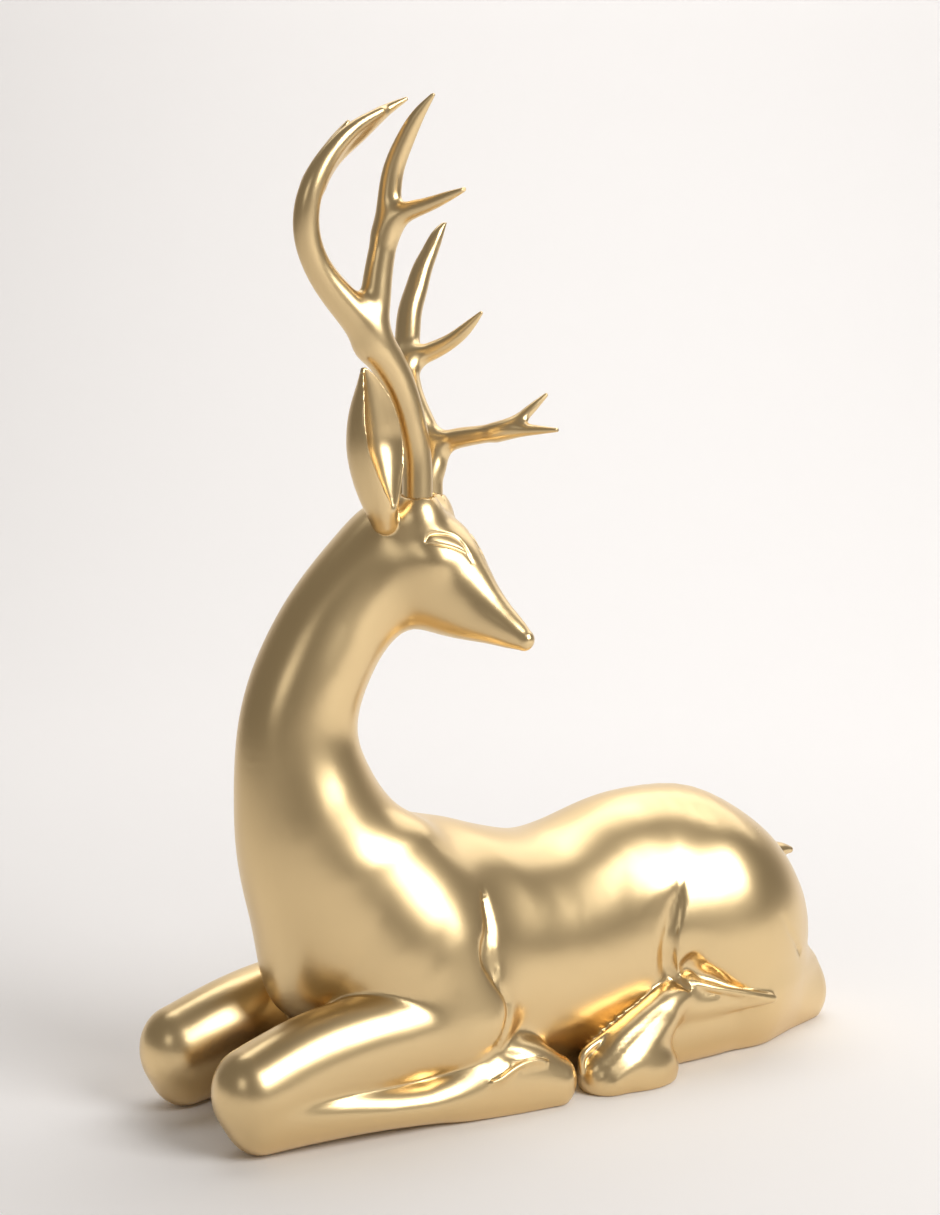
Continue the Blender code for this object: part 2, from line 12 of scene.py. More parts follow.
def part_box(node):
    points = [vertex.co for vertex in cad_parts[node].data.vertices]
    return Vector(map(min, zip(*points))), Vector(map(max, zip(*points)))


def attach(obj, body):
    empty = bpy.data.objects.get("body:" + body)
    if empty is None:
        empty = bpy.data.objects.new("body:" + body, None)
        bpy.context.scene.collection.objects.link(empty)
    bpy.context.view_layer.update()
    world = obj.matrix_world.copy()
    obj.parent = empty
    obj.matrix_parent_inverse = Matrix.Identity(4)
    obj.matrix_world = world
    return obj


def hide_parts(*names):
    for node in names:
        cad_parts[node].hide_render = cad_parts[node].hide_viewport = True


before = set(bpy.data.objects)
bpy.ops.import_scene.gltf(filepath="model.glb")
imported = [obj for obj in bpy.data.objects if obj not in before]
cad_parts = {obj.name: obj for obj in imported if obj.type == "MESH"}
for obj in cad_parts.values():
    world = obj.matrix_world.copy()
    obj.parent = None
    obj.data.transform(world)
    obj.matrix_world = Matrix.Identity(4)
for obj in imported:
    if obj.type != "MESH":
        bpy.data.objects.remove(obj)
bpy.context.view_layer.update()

# Driving dimensions, in metres and the same as the part's.
FIGURE_HEIGHT = 0.390
ANTLER_ROOT_RADIUS = 0.0058
SOCKET_DEPTH = 0.0060
SOCKET_CLEARANCE = 0.0003

# The figure's pose and proportions are shares of its own height: one share is a 390th of it.
SHARE = FIGURE_HEIGHT / 390

# The head is turned about 118 degrees to the animal's left.
HEAD_LEFT = np.array((0.883, 0.470, 0.0))
HEAD_MIDDLE = np.array((-62.3, -18.7, 0.0))
LEFT_SIDE = np.array((0.0, -1.0, 0.0))
# The rows are set out from a point behind the middle of the figure's length.
ORIGIN_SHIFT = np.array((7.2, 0.0, 0.0))

# Each row is a point of a curve, then the half width across it and the half height, in shares.
TORSO = [
    (-104, 0, 66, 17, 27), (-88, 0, 60, 33, 42), (-50, 0, 53, 40, 53.5), (-8, 0, 49, 43, 50.5),
    (26, 0, 50, 40, 54.5), (56, 0, 51.5, 38, 57.5), (87, 0, 46, 34, 49.5), (113, 0, 38, 23, 34),
]
BELLY = [
    (-60, 0, 22, 28, 28), (-10, 0, 22, 33, 28), (40, 0, 22, 35, 28), (95, 0, 24, 32, 28),
    (118, 0, 26, 22, 24),
]
NECK = [
    (-85, 0, 72, 33, 34), (-101, 0, 100, 28.5, 31.5), (-110, 0, 128, 23.5, 27),
    (-111.5, 0, 152, 20, 24), (-106, 0, 172, 20, 22.3), (-96, -1, 190, 18.5, 21),
    (-83, -3, 205, 18, 20), (-71, -5, 214, 17, 19),
]
HEAD = [
    (-72, -3, 217, 15.5, 18), (-64, -14, 214, 15.8, 18.5), (-57, -25.9, 204.2, 13, 16.6),
    (-51.9, -35.5, 197.4, 9.2, 12.2), (-47.1, -44.4, 192, 6.6, 7.9), (-43.8, -50.5, 188.4, 5, 5.6),
    (-42.5, -53.4, 186.8, 3.8, 4.2),
]
EYE_SOCKET = ((-66.5, -25.5, 216.5), (7.5, 8.5, 7.5))
# The closed eyes: each lid's line, as a point near the skin and the groove's radius.
UPPER_LID = [
    (-74.5, -34.2, 225.5, 0.3), (-73.1, -34.6, 227.2, 0.5), (-67.6, -35.7, 228.9, 0.6),
    (-60.5, -36.7, 228.0, 0.6), (-57.7, -39.4, 222.7, 0.5), (-57, -40.3, 219.5, 0.3),
]
LOWER_LID = [
    (-74.4, -35.1, 225.0, 0.3), (-68.9, -37.8, 224.9, 0.6), (-62.3, -39.5, 223.2, 0.6),
    (-58.3, -40.3, 220.8, 0.5), (-56.5, -41.5, 217, 0.3),
]
LID_FILLET = 0.35
PEDICLE_RADII = (7.8, 7.8, 10.0)
UPPER_ARM = [
    (-84, -17, 98, 15, 22), (-76, -24, 78, 16, 25), (-66, -31, 56, 15, 23), (-60, -35, 38, 13, 18),
]
FOREARM = [
    (-57, -37, 35, 13, 17), (-90, -34, 34, 15, 19), (-122, -31, 29, 16, 20.5),
    (-149, -31, 23, 15.5, 18),
]
CANNON = [
    (-146, -32, 15, 14, 15), (-110, -38, 12, 12, 10), (-70, -43, 10, 10, 10), (-36, -47, 11, 9, 14),
    (-24, -49, 8, 8, 10),
]
THIGH = ((78.0, -18.0, 46.5), (47.0, 31.0, 47.0))
SHANK = [
    (134, -14, 10, 13, 12.5), (96, -26, 14, 13, 15), (62, -36, 16, 12, 17.5), (44, -38, 14, 9, 15),
]
FOOT = [
    (50, -42.5, 36, 2.5, 3), (40, -44.5, 30, 5.5, 5.5), (30, -46, 23.5, 9, 8),
    (19, -47, 15.5, 12.5, 10.5), (8, -47.5, 8.5, 13, 12), (2.5, -47.5, 6, 11.5, 11.5),
]
FOOT_PAD = ((20, -48, 5), (17.5, 12.5, 13))
FOOT_WING = [
    (38, -41, 27, 6, 7.5), (53, -44.3, 26.2, 5.5, 6.8), (66, -47.4, 25.6, 4, 4.6),
    (78, -50.8, 25, 2.2, 2.1), (87, -52.8, 24.6, 0.7, 0.6),
]
FOOT_RIM = [
    (88, -53, 24.5, 0.5), (76, -52.8, 28, 1.0), (66, -51.4, 30.8, 1.4), (55, -48.8, 34, 1.6),
    (47, -45, 35.7, 1.6), (37, -43.7, 33.4, 1.6), (26.5, -44, 30.2, 1.6), (13.2, -45, 25, 1.6),
    (0, -46, 19.8, 1.6), (-9, -47, 14.5, 1.5), (-9.3, -47.5, 9, 1),
]
FOOT_FLUTES = [
    [(30, -51.8, 31, 0.8), (24.3, -53.2, 29.4, 1.6), (15.3, -54.9, 25.5, 2), (5.1, -56.2, 20.2, 2),
     (-3.6, -56.2, 13.6, 1.8), (-8.3, -54.3, 7.5, 1)],
    [(33, -53.6, 28.5, 0.8), (27, -55.8, 26.2, 1.6), (18.2, -57.7, 22.4, 2), (8.1, -59.5, 17.3, 2),
     (-0.5, -59.3, 11.4, 1.8), (-5.8, -57.6, 5.4, 1)],
]
THIGH_POCKET = [
    (50, -45.5, 42.2, 4.5, 5.6), (54.5, -45.8, 39, 4.2, 4.3), (61, -47.5, 36, 3.4, 3),
    (67, -49.5, 33, 2.2, 1.8), (76, -51.5, 29.3, 0.8, 0.6),
]
HOOF_HOLLOW = [
    (-50, -53, 26, 2.2), (-45, -54.5, 24.5, 3), (-39, -55.3, 23.6, 2.2), (-34, -55.5, 22.3, 1),
    (-31.5, -56, 21.2, 0.4),
]
HOOF_RIM = [
    (-58.5, -54.9, 16.5, 0.5), (-55, -55.2, 17.1, 0.8), (-51.2, -55.2, 18.7, 0.9),
    (-45.4, -55.1, 20.8, 0.9), (-40.6, -55, 21.4, 0.9), (-35, -55.2, 20.8, 0.8),
    (-31.5, -55.8, 19.1, 0.5),
]
TAIL = [
    (118, 0, 72, 7, 6), (131, -1, 73, 5, 4), (140, -2, 73, 3, 2.5), (143.5, -2.5, 72.5, 1.6, 1.4),
]

# Creases are grooves drawn on the skin: x, z, half width and depth, in shares.
SHOULDER_CREASE = [
    (-49, 89, 0.5, 0.5), (-50.5, 81.8, 1.7, 1.2), (-51.5, 73, 2.4, 1.8), (-54, 65, 4.2, 2.3),
    (-53.5, 60, 3.8, 2.2), (-52.5, 55.5, 2, 1.8), (-51, 51.8, 1, 1.2), (-46.8, 44, 0.9, 1),
    (-47.2, 40, 0.9, 1), (-50, 34, 0.9, 1), (-56, 27.7, 0.8, 0.9), (-59.5, 26.5, 0.5, 0.5),
]
FLANK_CREASE = [
    (50.2, 79.5, 0.3, 0.3), (47.5, 72, 1.4, 0.9), (43.7, 64, 2.4, 1.6), (40, 51.5, 3.2, 2.4),
    (41.3, 41, 3, 2.4), (45.5, 35, 1.2, 1.4),
]
HOCK_CREASE = [
    (95.2, 59.2, 0.3, 0.3), (101.2, 50.7, 0.7, 0.6), (107.5, 44, 0.9, 0.9), (112.5, 38.5, 1, 1),
]
# Each crease with the fillets of its front and back edges.
CREASES = [(SHOULDER_CREASE, 1.2, 1.2), (FLANK_CREASE, 3.0, 0.6), (HOCK_CREASE, 0.8, 0.8)]

# Ear rows are a point and the radius of a round shell, from the base to the tip.
EAR_RADII = (5.1, 6.9, 9.7, 11.2, 10.4, 7.1, 3.2, 0.8)
RIGHT_EAR = [
    (-85.7, -21.8, 232.3), (-88.2, -23.8, 238.5), (-90.5, -25.2, 249.2), (-91.7, -26.2, 260.9),
    (-92.7, -26.7, 268.7), (-94.2, -26.9, 279.9), (-95.9, -26.4, 286.9), (-97.2, -26.1, 290.4),
]
RIGHT_EAR_FACE = np.array((0.276, -0.961, 0.0))
LEFT_EAR = [
    (-56, -1, 225), (-52, 8, 235.5), (-50.9, 16.2, 246.9), (-49.4, 23.7, 259.2),
    (-48.3, 27.8, 267.7), (-47, 32.9, 277.8), (-46.1, 35.9, 283.5), (-45.9, 37, 286.8),
]
LEFT_EAR_FACE = np.array((0.643, -0.765, 0.0))
# The hollow at each ear row: how far it is set towards the face, and its radius, in ear radii.
EAR_HOLLOW = [
    (0.95, 0.12), (0.95, 0.69), (0.95, 0.976), (0.95, 1.02), (0.9, 1.1), (0.9, 1.1), (0.9, 0.6),
]

# Antler rows are a point and the radius; the first two stand upright in the socket.
RIGHT_ROOT = (-70.3, -21.4)
RIGHT_STEM = [
    (-70.8, -21.6, 256.3, 5.7), (-74.0, -22.4, 270, 5.8), (-80.2, -23.0, 285, 6.3),
    (-90, -23.9, 298.5, 7.1), (-98, -23.4, 308.4, 6.7), (-107.8, -22.8, 318.4, 5.8),
    (-115.5, -23.5, 328, 5.1), (-120, -25.2, 337.7, 4.9), (-121, -27, 347.2, 4.7),
    (-118.8, -28.4, 356.5, 4.3), (-113.8, -29.4, 365.6, 3.6), (-106.9, -30.4, 373.5, 2.9),
    (-99.4, -30.7, 379.3, 2.0), (-91.8, -31, 383.5, 0.8),
]
RIGHT_TINES = [
    [(-116.2, -25.3, 356.2, 2.9), (-108.7, -25.6, 365.9, 2.9), (-98.2, -26.6, 375.5, 2.9),
     (-88.5, -28.4, 384, 2.2), (-81, -31, 388.6, 0.8)],
    [(-116.7, -22.6, 355.7, 2.9), (-110.9, -20.5, 365.6, 2.4), (-104.8, -19.8, 373.6, 1.8),
     (-99.3, -19.9, 380.2, 0.8)],
    [(-92.4, -23.3, 298.5, 5.2), (-91.1, -24.2, 310.7, 5.8), (-89.8, -25.1, 324.4, 5.4),
     (-88.2, -26.1, 335.4, 5.0), (-86.6, -27.2, 347.5, 4.6), (-85.6, -29.1, 362, 4.0),
     (-83.2, -33.1, 372.7, 3.5), (-80.3, -38.7, 382.4, 2.4), (-77.6, -44.1, 388.8, 0.8)],
    [(-87.3, -26.8, 339.4, 3.3), (-83.9, -32.6, 346.1, 3.7), (-79.9, -41.4, 349, 2.9),
     (-75.9, -50.1, 351.7, 2.0), (-72.4, -57.3, 354.2, 0.8)],
]
LEFT_ROOT = (-55.5, -6.0)
LEFT_STEM = [
    (-52.6, -5.6, 254.5, 5.5), (-53.4, -1.5, 265, 5.3), (-55.3, 5.6, 277.5, 5.2),
    (-54.3, 11.3, 286.6, 5.2), (-51.2, 16.5, 295.8, 5.1), (-47.5, 21.2, 306, 5.1),
    (-44.5, 24, 314.6, 4.9), (-41, 25.3, 322.3, 4.6), (-37.9, 25.6, 330.5, 4.1),
    (-33.9, 25.3, 338.7, 3.3), (-30.5, 24.2, 346, 2.2), (-27.9, 23.7, 349.7, 0.8),
]
LEFT_TINES = [
    [(-52.9, -4.1, 259.5, 4.1), (-46.7, -11.9, 262.7, 4.1), (-41.9, -22.4, 264.5, 3.6),
     (-37.3, -32.7, 266, 3.3), (-32.8, -43, 266.5, 2.2), (-27.8, -53.7, 266.6, 0.8)],
    [(-38.7, -29.4, 265.6, 1.9), (-35, -35.5, 269.1, 2.3), (-29.6, -39.2, 274.5, 1.9),
     (-24.2, -41.6, 279.9, 0.8)],
    [(-51.8, 14.4, 293.4, 3.8), (-44.7, 8.4, 297.2, 3.7), (-39.2, 2.3, 301.3, 3.1),
     (-34.7, -3.2, 306.8, 2.3), (-31.5, -7.7, 312.2, 0.8)],
]
CROWN_Z = 242.0


def unit(vectors):
    vectors = np.asarray(vectors, float)
    return vectors / np.linalg.norm(vectors, axis=-1, keepdims=True)


def fade(x, start, end):
    """0 before start, 1 after end, and smooth between them."""
    t = np.clip((x - start) / (end - start), 0, 1)
    return t * t * (3 - 2 * t)


def spline(rows):
    """A smooth cubic curve through the rows: a function of arc length, and the curve's length."""
    rows = np.array(rows, float)
    gaps = np.linalg.norm(np.diff(rows[:, :3], axis=0), axis=1)
    knots = np.concatenate(([0.0], np.cumsum(gaps)))
    system = np.eye(len(rows))
    turns = np.zeros_like(rows)
    for i in range(1, len(rows) - 1):
        system[i, i - 1:i + 2] = gaps[i - 1], 2 * (gaps[i - 1] + gaps[i]), gaps[i]
        ahead, behind = (rows[i + 1] - rows[i]) / gaps[i], (rows[i] - rows[i - 1]) / gaps[i - 1]
        turns[i] = 6 * (ahead - behind)
    bend = np.linalg.solve(system, turns)

    def at(t):
        i = np.clip(np.searchsorted(knots, t, side="right") - 1, 0, len(gaps) - 1)
        gap = gaps[i][:, None]
        b = (t - knots[i])[:, None] / gap
        a = 1 - b
        bow = (a ** 3 - a) * bend[i] + (b ** 3 - b) * bend[i + 1]
        lean = (3 * b ** 2 - 1) * bend[i + 1] - (3 * a ** 2 - 1) * bend[i]
        value = a * rows[i] + b * rows[i + 1] + bow * gap ** 2 / 6
        slope = (rows[i + 1] - rows[i]) / gap + lean * gap / 6
        return value, slope[:, :3]

    return at, knots[-1]


def limb(rows, side=(0, 1, 0), steps=48, reach=45.0):
    """Distance to a body swept along a curve; its sections are ellipses, and side points across."""
    rows = [tuple(row) + (row[3],) if len(row) == 4 else tuple(row) for row in rows]
    side = np.asarray(side, float)
    at, length = spline(rows)
    stations = np.linspace(0, length, steps)
    table = at(stations)[0]
    places, girth = table[:, :3], table[:, 3:5].mean(axis=1)
    cut = girth.max() + reach
    low, high = places.min(axis=0), places.max(axis=0)

    def exact(p, t):
        for _ in range(2):
            value, slope = at(t)
            t = np.clip(t + ((p - value[:, :3]) * slope).sum(1) / (slope ** 2).sum(1), 0, length)
        value, slope = at(t)
        along = unit(slope)
        across = unit(side - along * (along @ side)[:, None])
        up = np.cross(along, across)
        off = p - value[:, :3]
        width, height = np.maximum(value[:, 3], 0.3), np.maximum(value[:, 4], 0.3)
        halves = np.stack((width, height, np.minimum(width, height)), 1)
        shares = np.stack([(off * way).sum(1) for way in (across, up, along)], 1) / halves
        k = np.linalg.norm(shares, axis=1) + 1e-9
        return k * (k - 1) / (np.linalg.norm(shares / halves, axis=1) + 1e-9)

    def close(p):
        squares = (places ** 2).sum(1)[None] - 2 * p @ places.T
        pick = np.argmin(squares, axis=1)
        gap = np.sqrt(np.maximum(squares[np.arange(len(p)), pick] + (p ** 2).sum(1), 0))
        rough = gap - girth[pick]
        near = gap < cut
        far_share = fade(gap[near], cut - 20, cut)
        true = exact(p[near], stations[pick[near]])
        rough[near] = far_share * rough[near] + (1 - far_share) * true
        return rough

    def field(p):
        out = np.linalg.norm(np.maximum(np.maximum(low - p, p - high), 0), axis=1)
        near = out < cut
        out[near] = close(p[near])
        out[~near] -= girth.mean()
        return out

    return field


def ball(centre, radii, long_axis=(1, 0, 0)):
    """Distance to an ellipsoid; its first radius runs along long_axis, its third stays upright."""
    first = unit(long_axis)
    second = unit(np.cross((0, 0, 1), first))
    turn = np.stack((first, second, np.cross(first, second)))
    radii = np.array(radii, float)

    def field(p):
        shares = (p - np.array(centre)) @ turn.T / radii
        k = np.linalg.norm(shares, axis=1) + 1e-9
        return k * (k - 1) / (np.linalg.norm(shares / radii, axis=1) + 1e-9)

    return field


def blend(a, b, fillet):
    """Both forms with a smooth fillet, which ends where they are five fillets apart."""
    apart = np.abs(a - b)
    swell = 0.5 * (np.sqrt(apart ** 2 + fillet ** 2) - apart)
    return np.minimum(a, b) - swell * (1 - fade(apart, 2.5 * fillet, 5 * fillet))


def carve(a, b, fillet):
    """Form a with form b cut out of it, and a fillet along the cut."""
    return -blend(-a, b, fillet)


def weld(a, b, fillet):
    """Like blend, but only where the two are within a fillet of each other."""
    share = np.maximum(fillet - np.abs(a - b), 0) / fillet
    return np.minimum(a, b) - share ** 2 * fillet / 4


def in_chunks(field, p, size=50000):
    return np.concatenate([field(p[i:i + size]) for i in range(0, len(p), size)])


def crease(surface, rows, front, back, outward, start):
    """A cut that leaves a groove along a surface; each row's x and z are dropped onto it."""
    points = np.array([(x, start, z) for x, z, _, _ in rows], float)
    for _ in range(60):
        points = points - outward * surface(points)[:, None]
    groove = limb([tuple(p) + row[2:] for p, row in zip(points, rows)], (1, 0, 0))
    rising = np.array(sorted(rows, key=lambda row: row[1]))
    top, bottom = rising[-1, 1], rising[0, 1]

    def cut_groove(f, p):
        middle, width = [np.interp(p[:, 2], rising[:, 1], rising[:, i]) for i in (0, 2)]
        fillet = front + (back - front) * fade((p[:, 0] - middle) / width, -0.5, 0.5)
        ends = fade(top - p[:, 2], -1, 12) * fade(p[:, 2] - bottom, -3, 3)
        return carve(f, groove(p), fillet * (0.1 + 0.9 * ends))

    return cut_groove


def mirror_in_head(vectors, middle=HEAD_MIDDLE):
    """Reflect rows in the head's middle plane."""
    out = np.array(vectors, float)
    out[..., :3] -= 2 * ((out[..., :3] - middle) @ HEAD_LEFT)[..., None] * HEAD_LEFT
    return out


def ear(rows, face):
    """A leaf-shaped shell, hollowed on the side it faces down to a pointed mouth."""
    rows, radii = np.array(rows, float), np.array(EAR_RADII)
    shell = limb([(*row, radius) for row, radius in zip(rows, radii)], face)
    mouth = []
    for (along, share), row, radius in zip(EAR_HOLLOW, rows[1:], radii[1:]):
        mouth.append((*(row + along * radius * face), share * radius))
    hollow = limb(mouth, face)
    return lambda p: carve(shell(p), hollow(p), 0.6)


def head_form():
    head = limb(HEAD, HEAD_LEFT)
    centre, radii = EYE_SOCKET
    bumps = [ball(centre, radii), ball(mirror_in_head(centre), radii)]
    for x, y in (RIGHT_ROOT, LEFT_ROOT):
        bumps.append(ball((x, y, CROWN_Z - PEDICLE_RADII[2]), PEDICLE_RADII))

    def field(p):
        f = head(p)
        for bump in bumps:
            f = blend(f, bump(p), 4)
        return f

    return field


def figure_form():
    """The whole cast figure: both sides share the same limbs, mirrored."""
    torso, belly, neck, tail = limb(TORSO, reach=90), limb(BELLY), limb(NECK, reach=90), limb(TAIL)
    head = head_form()
    arm, forearm, cannon, shank = limb(UPPER_ARM), limb(FOREARM), limb(CANNON), limb(SHANK)
    thigh, pocket, wing = ball(*THIGH), limb(THIGH_POCKET), limb(FOOT_WING)
    foot, pad, rim = limb(FOOT, (0, 0, 1)), ball(*FOOT_PAD), limb(FOOT_RIM)
    flutes = [limb(rows) for rows in FOOT_FLUTES]
    hollow, lip = limb(HOOF_HOLLOW), limb(HOOF_RIM)
    ears = [ear(RIGHT_EAR, RIGHT_EAR_FACE), ear(LEFT_EAR, LEFT_EAR_FACE)]

    def body(p):
        f = blend(blend(torso(p), belly(p), 5), neck(p), 12)
        f = blend(f, head(p), 10)
        for side in (1, -1):
            q = p * (1, side, 1)
            f = blend(f, arm(q), 8)
            leg = blend(forearm(q), cannon(q), 1.5)
            f = blend(f, leg, 1.5 + 6 * fade(q[:, 0], -90, -62))
            f = blend(f, thigh(q), 8 + 6 * fade(q[:, 0], 50, 90))
            f = blend(f, shank(q), 2 + 8 * fade(q[:, 0], 70, 98) * fade(q[:, 2], 40, 26))
            f = blend(carve(f, hollow(q), 0.8), lip(q), 0.8)
            paw = blend(blend(foot(q), wing(q), 4), pad(q), 3)
            for flute in flutes:
                paw = carve(paw, flute(q), 1.2)
            f = blend(blend(carve(f, pocket(q), 2.5), paw, 1.2), rim(q), 1)
        return blend(f, tail(p), 3)

    creases = [crease(body, *row, LEFT_SIDE, -90.0) for row in CREASES]

    def field(p):
        f = body(p)
        for side in (1, -1):
            q = p * (1, side, 1)
            for cut_groove in creases:
                f = cut_groove(f, q)
        for shell in ears:
            f = blend(f, shell(p), 1.2)
        return f

    return field


def antler_form(root, stem, tines):
    """A stem with its tines; the root stands upright in its socket."""
    radius = ANTLER_ROOT_RADIUS / SHARE
    foot = [root + (CROWN_Z + rise, radius) for rise in (-14, -8, -3, 1, 4)]
    parts = [limb(rows, HEAD_LEFT) for rows in [foot + stem] + tines]

    def field(p):
        f = parts[0](p)
        for part in parts[1:]:
            f = weld(f, part(p), 5)
        return f

    return field


def block_values(field, low, size, cell, block=6):
    """The field on a grid: exact near the surface, and one value a block elsewhere."""
    blocks = (size - 1) // block + 2
    axes = [np.arange(count) for count in blocks]
    corner = np.stack(np.meshgrid(*axes, indexing="ij"), -1).reshape(-1, 3)
    values = in_chunks(field, low + corner * cell * block).reshape(blocks)
    for axis in range(3):
        values = np.repeat(values, block, axis)
    half = block // 2
    values = values[half:, half:, half:][:size[0], :size[1], :size[2]]
    near = np.abs(values) < cell * block * 1.6
    values[near] = in_chunks(field, low + np.argwhere(near) * cell)
    return values


CELL_CORNERS = [(i, j, k) for i in (0, 1) for j in (0, 1) for k in (0, 1)]


def in_one_group(corners):
    """Whether the corners of a cell hang together along its edges."""
    reached = corners[:1]
    for corner in reached:
        beside = [c for c in corners if sum(abs(a - b) for a, b in zip(c, corner)) == 1]
        reached += [c for c in beside if c not in reached]
    return len(reached) == len(corners)


def one_sheet_cells():
    """For each of the 256 patterns of inside corners, whether the surface crosses the cell once."""
    table = []
    for pattern in range(256):
        chosen = [c for n, c in enumerate(CELL_CORNERS) if pattern >> n & 1]
        others = [c for c in CELL_CORNERS if c not in chosen]
        table.append(in_one_group(chosen) and in_one_group(others))
    return np.array(table)


def fill_pinches(values, cell):
    """Fill grid corners where the surface would touch itself, so that it stays one sheet."""
    table = one_sheet_cells()
    span = np.array(values.shape) - 1
    while True:
        inside = values < 0
        pattern = sum(inside[i:i + span[0], j:j + span[1], k:k + span[2]].astype(int) << n
                      for n, (i, j, k) in enumerate(CELL_CORNERS))
        bad = np.argwhere(~table[pattern])
        if not len(bad):
            return values
        around = bad[:, None] + np.array(CELL_CORNERS)
        found = values[tuple(around.reshape(-1, 3).T)].reshape(-1, 8)
        pick = np.argmin(np.where(found < 0, np.inf, found), axis=1)
        values[tuple(around[np.arange(len(bad)), pick].T)] = -0.01 * cell


def surface_net(field, low, high, cell):
    """Points and quads of the field's zero: one point in each grid cell that it crosses."""
    low = np.array(low, float)
    size = np.ceil((np.array(high) - low) / cell).astype(int) + 1
    values = fill_pinches(block_values(field, low, size, cell), cell)
    inside = values < 0
    span = size - 1
    count = sum(inside[i:i + span[0], j:j + span[1], k:k + span[2]].astype(np.int8)
                for i, j, k in CELL_CORNERS)
    cells = np.argwhere((count > 0) & (count < 8))
    number = np.full(span, -1)
    number[tuple(cells.T)] = np.arange(len(cells))
    total, hits = np.zeros((len(cells), 3)), np.zeros(len(cells))
    steps = np.eye(3, dtype=int)
    for step in steps:
        for corner in CELL_CORNERS:
            if np.dot(corner, step):
                continue
            start = cells + corner
            a, b = values[tuple(start.T)], values[tuple((start + step).T)]
            crossed = (a < 0) != (b < 0)
            share = np.where(crossed, a / np.where(crossed, a - b, 1), 0)
            total += np.where(crossed[:, None], start - cells + share[:, None] * step, 0)
            hits += crossed
    points = low + (cells + total / hits[:, None]) * cell
    quads = []
    for axis in range(3):
        step, first, second = steps[axis], steps[(axis + 1) % 3], steps[(axis + 2) % 3]
        edge = size - step
        before = inside[:edge[0], :edge[1], :edge[2]]
        after = inside[step[0]:, step[1]:, step[2]:]
        crossed = np.argwhere(before != after)
        around = (0 * first, first, first + second, second)
        quad = np.stack([number[tuple((crossed - offset).T)] for offset in around], 1)
        outward = before[tuple(crossed.T)]
        quad[~outward] = quad[~outward][:, ::-1]
        quads.append(quad)
    return points, np.concatenate(quads)


def corner_sums(quads, values, count):
    """Add each quad corner's value up at its point."""
    out = np.zeros((count, 3))
    for corner in range(4):
        for axis in range(3):
            out[:, axis] += np.bincount(quads[:, corner], values[corner][:, axis], count)
    return out


def settle(field, points, quads, rounds=3, probe=0.05):
    """Even the points out along the surface, and put them exactly on it."""
    hits = np.bincount(quads.ravel(), minlength=len(points))[:, None]
    for turn in range(rounds):
        if turn < rounds - 1:
            ends = [points[quads[:, (c + 1) % 4]] + points[quads[:, (c + 3) % 4]] for c in range(4)]
            points = points + 0.5 * (corner_sums(quads, ends, len(points)) / (2 * hits) - points)
        diagonals = [points[quads[:, c + 2]] - points[quads[:, c]] for c in (0, 1)]
        normals = unit(corner_sums(quads, [np.cross(*diagonals)] * 4, len(points)))
        value = in_chunks(field, points)
        slope = (in_chunks(field, points + probe * normals) - value) / probe
        points = points - np.clip(value / np.maximum(slope, 0.4), -1, 1)[:, None] * normals
    return points


def onto(field, points, rounds=3, probe=0.05):
    """Points moved onto the field's zero along its slope."""
    for _ in range(rounds):
        value = in_chunks(field, points)
        ahead = np.stack([in_chunks(field, points + probe * step) for step in np.eye(3)], 1)
        slope = (ahead - value[:, None]) / probe
        move = np.clip(value / np.maximum((slope ** 2).sum(1), 0.3), -1, 1)
        points = points - move[:, None] * slope
    return points


def split(mesh, edges, field):
    """Cut the edges in two and put the new points on the skin."""
    old = len(mesh.verts)
    bmesh.ops.subdivide_edges(mesh, edges=edges, cuts=1, use_grid_fill=True)
    fresh = list(mesh.verts)[old:]
    for vert, place in zip(fresh, onto(field, np.array([v.co for v in fresh]))):
        vert.co = place
    mesh.normal_update()


def refine(points, faces, field, zones, turns):
    """Finer faces inside each zone, and then wherever the skin turns quickly."""
    mesh = bmesh.new()
    for point in points:
        mesh.verts.new(point)
    mesh.verts.ensure_lookup_table()
    for face in faces:
        mesh.faces.new([mesh.verts[i] for i in face])
    mesh.normal_update()
    for zone in zones:
        inside = zone(np.array([v.co for v in mesh.verts])) < 0
        mesh.verts.index_update()
        split(mesh, [e for e in mesh.edges if all(inside[v.index] for v in e.verts)], field)
    for turn in turns:
        sharp = set()
        for edge in mesh.edges:
            if edge.verts[0].normal.dot(edge.verts[1].normal) < turn:
                sharp.update(edge.link_faces)
        split(mesh, [e for e in mesh.edges if not sharp.isdisjoint(e.link_faces)], field)
    return mesh


def skin(name, node, field, low, high, cell, zones=(), turns=()):
    """The finished mesh of one cast piece, standing for its CAD node."""
    points, quads = surface_net(field, low, high, cell)
    points = settle(field, points, quads)
    cast = refine(points, quads.tolist(), field, zones, turns)
    mesh = bpy.data.meshes.new(name)
    cast.to_mesh(mesh)
    cast.free()
    mesh.transform(Matrix.Translation(ORIGIN_SHIFT))
    mesh.transform(Matrix.Scale(SHARE, 4))
    piece = bpy.data.objects.new(name, mesh)
    bpy.context.scene.collection.objects.link(piece)
    lowest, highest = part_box(node)
    co = np.empty(3 * len(mesh.vertices))
    mesh.vertices.foreach_get("co", co)
    # The solid's facets lie a little inside the true form, so the skin is held to their box.
    co = np.clip(co.reshape(-1, 3), lowest, highest)
    mesh.vertices.foreach_set("co", co.ravel())
    mesh.shade_smooth()
    mesh.materials.append(satin_gold)
    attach(piece, "root")
    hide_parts(node)


